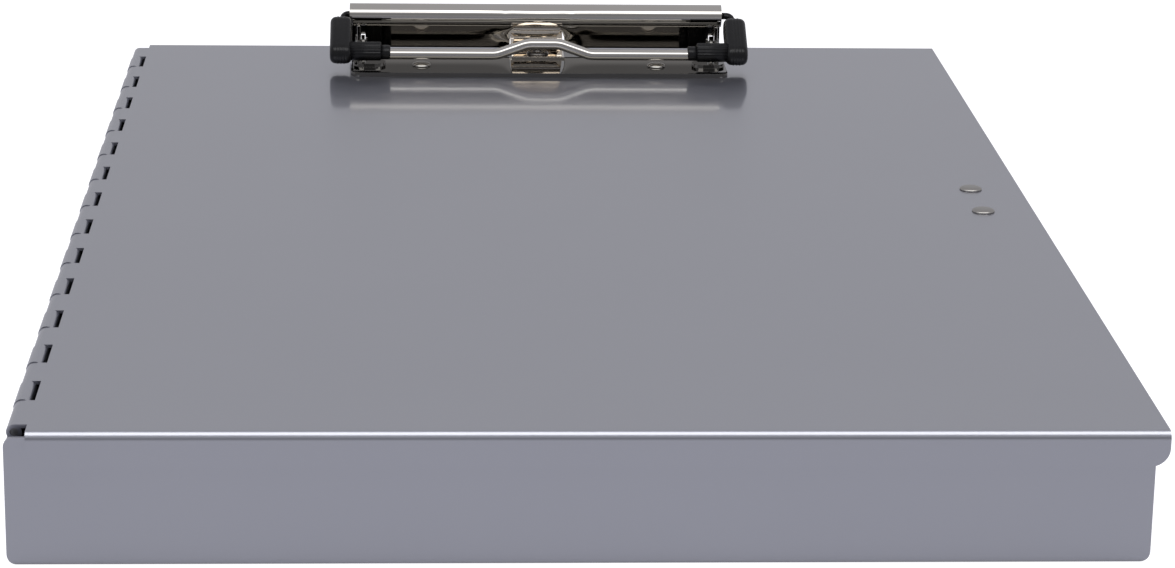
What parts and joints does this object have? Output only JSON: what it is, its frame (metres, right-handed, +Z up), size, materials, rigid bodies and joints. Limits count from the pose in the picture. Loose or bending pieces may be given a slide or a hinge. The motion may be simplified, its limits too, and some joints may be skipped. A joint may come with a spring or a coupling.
{
  "type": "storage clipboard",
  "caption": "Sheet-aluminium storage clipboard: a tray box, a side-hinged writing lid with a snap latch, and a sprung wire-jaw paper clip with rubber grips.",
  "frame": {"origin": "middle of the tray's underside, which lies on the table", "axes": "+X from the hinge to the latch edge, +Y along the length towards the clip, +Z up out of the writing surface"},
  "size_m": [0.2414, 0.3556, 0.0461],
  "materials": {
    "tray_sheet": "satin anodised sheet",
    "lid_sheet": "satin anodised sheet",
    "nickel_plate": "bright nickel plating",
    "nickel_wire": "bright nickel plating",
    "grip_rubber": "satin moulded rubber",
    "bush_plastic": "glossy moulded plastic",
    "spring_steel": "rolled spring strip",
    "steel": "plain steel",
    "dark_steel": "darkened steel",
    "rivet_aluminium": "satin upset rivet"
  },
  "bodies": {
    "box": {"tray": "tray_sheet", "hinge_pin": "steel"},
    "lid": {"lid": "lid_sheet", "clip_base": "nickel_plate", "clip_leaf_spring": "spring_steel", "clip_eyelet": "dark_steel", "clip_pivot_left": "steel", "clip_pivot_right": "steel", "clip_rivet_left": "nickel_plate", "clip_rivet_right": "nickel_plate", "clip_washer_left": "steel", "clip_washer_right": "steel", "latch_plate": "spring_steel", "latch_rivet_front": "rivet_aluminium", "latch_rivet_rear": "rivet_aluminium"},
    "clip_jaw": {"clip_lever": "nickel_plate", "clip_wire": "nickel_wire", "grip_left": "grip_rubber", "grip_right": "grip_rubber", "lever_bush_left": "bush_plastic", "lever_bush_right": "bush_plastic"},
    "latch": {"latch_tongue": "spring_steel"}
  },
  "joints": [
    {"name": "lid_hinge", "type": "hinge", "parent": "box", "child": "lid", "pos_m": [-0.1188, 0, 0.02795], "axis": [0, -1, 0], "range_deg": [0, 180]},
    {"name": "clip_pivot", "type": "hinge", "parent": "lid", "child": "clip_jaw", "pos_m": [0, 0.161, 0.0338], "axis": [-1, 0, 0], "range_deg": [0, 40], "stiffness_Nm_per_rad": 0.4, "springref_deg": -34.38, "deforming": ["clip_leaf_spring"]},
    {"name": "latch_flex", "type": "hinge", "parent": "lid", "child": "latch", "pos_m": [0.11195, 0.0028, 0.0278], "axis": [0, 1, 0], "range_deg": [0, 8], "stiffness_Nm_per_rad": 0.5}
  ]
}
